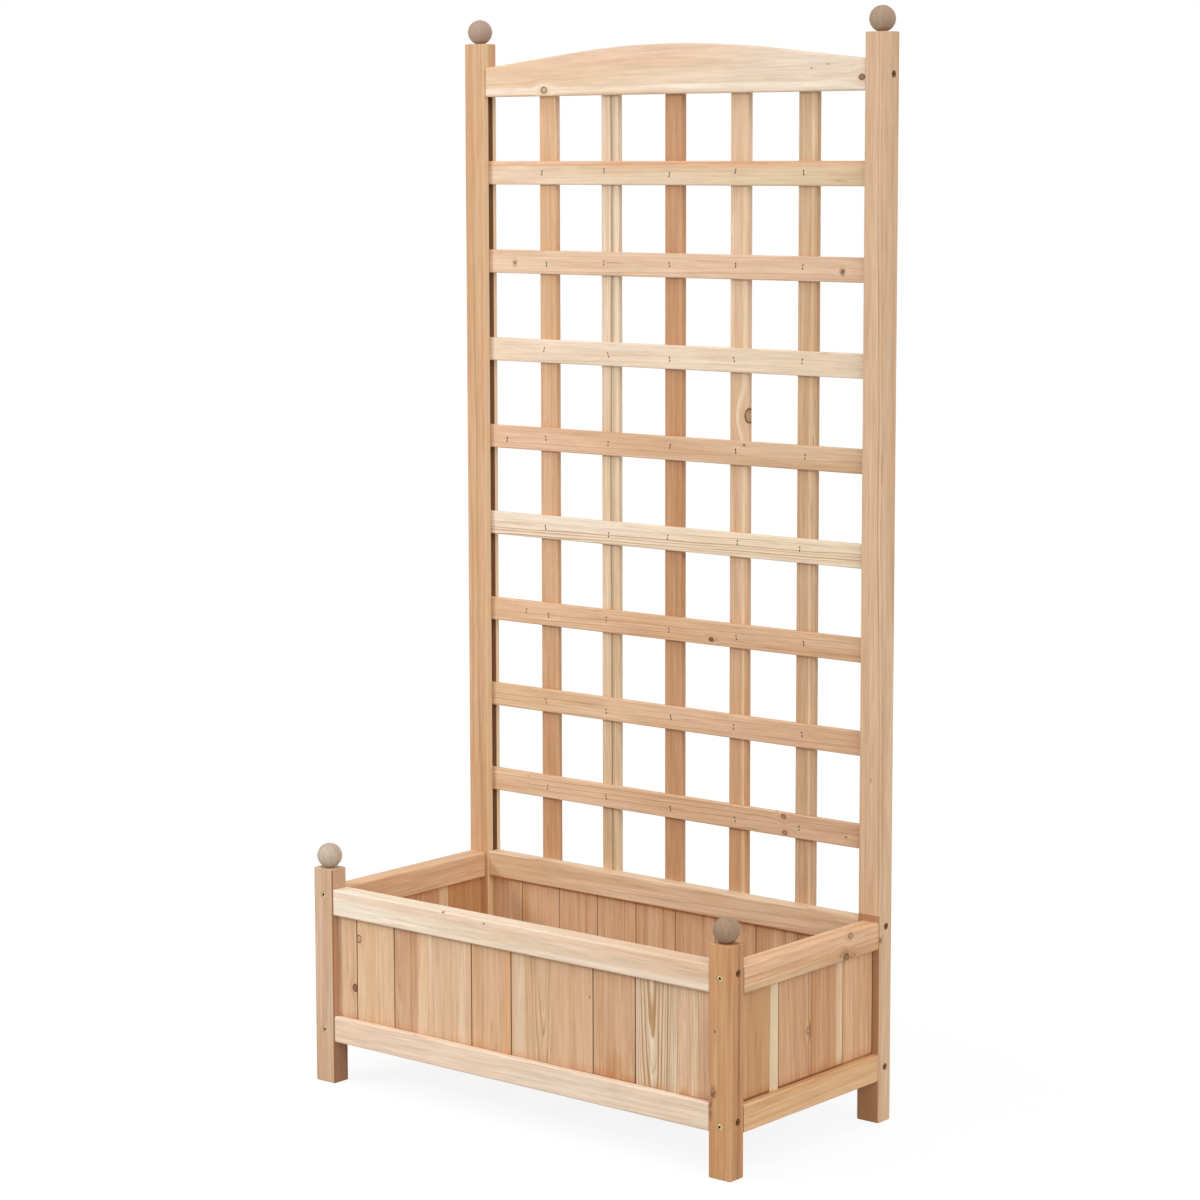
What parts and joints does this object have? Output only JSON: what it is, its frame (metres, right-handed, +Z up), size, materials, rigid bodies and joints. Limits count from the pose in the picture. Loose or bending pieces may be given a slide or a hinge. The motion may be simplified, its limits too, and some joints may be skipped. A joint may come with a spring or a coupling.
{
  "type": "planter with trellis",
  "caption": "Free-standing wooden planter box on four posts with ball finials, walled with upright boards, and a tall slatted trellis with an arched top rail behind it.",
  "frame": {"origin": "On the ground, under the middle of the four posts.", "axes": "+X to the right as seen from the front, +Y from the front to the trellis at the back, +Z up."},
  "size_m": [0.62, 0.3054, 1.2538],
  "materials": {
    "post": "satin",
    "finial": "matte",
    "rail": "satin",
    "board": "satin",
    "filler": "satin",
    "floor": "matte",
    "arch": "satin",
    "slat": "satin"
  },
  "bodies": {
    "root": {"post_front_left": "post", "post_front_right": "post", "post_rear_left": "post", "post_rear_right": "post", "finial_front_left": "finial", "finial_front_right": "finial", "finial_rear_left": "finial", "finial_rear_right": "finial", "front_top_rail": "rail", "front_bottom_rail": "rail", "back_top_rail": "rail", "back_bottom_rail": "rail", "left_top_rail": "rail", "left_bottom_rail": "rail", "right_top_rail": "rail", "right_bottom_rail": "rail", "front_board_1": "board", "front_board_2": "board", "front_board_3": "board", "front_board_4": "board", "front_board_5": "board", "front_board_6": "board", "front_board_7": "board", "front_board_8": "board", "front_board_9": "board", "front_board_10": "board", "left_board_1": "board", "left_board_2": "filler", "left_board_3": "board", "left_board_4": "board", "left_board_5": "board", "right_board_1": "board", "right_board_2": "filler", "right_board_3": "board", "right_board_4": "board", "right_board_5": "board", "back_panel": "board", "floor_cleat_front": "floor", "floor_cleat_back": "floor", "floor_board_1": "floor", "floor_board_2": "floor", "floor_board_3": "floor", "floor_board_4": "floor", "floor_board_5": "floor", "arch_rail": "arch", "cross_slat_1": "slat", "cross_slat_2": "slat", "cross_slat_3": "slat", "cross_slat_4": "slat", "cross_slat_5": "slat", "cross_slat_6": "slat", "cross_slat_7": "slat", "cross_slat_8": "slat", "upright_slat_1": "slat", "upright_slat_2": "slat", "upright_slat_3": "slat", "upright_slat_4": "slat", "upright_slat_5": "slat"}
  },
  "joints": []
}
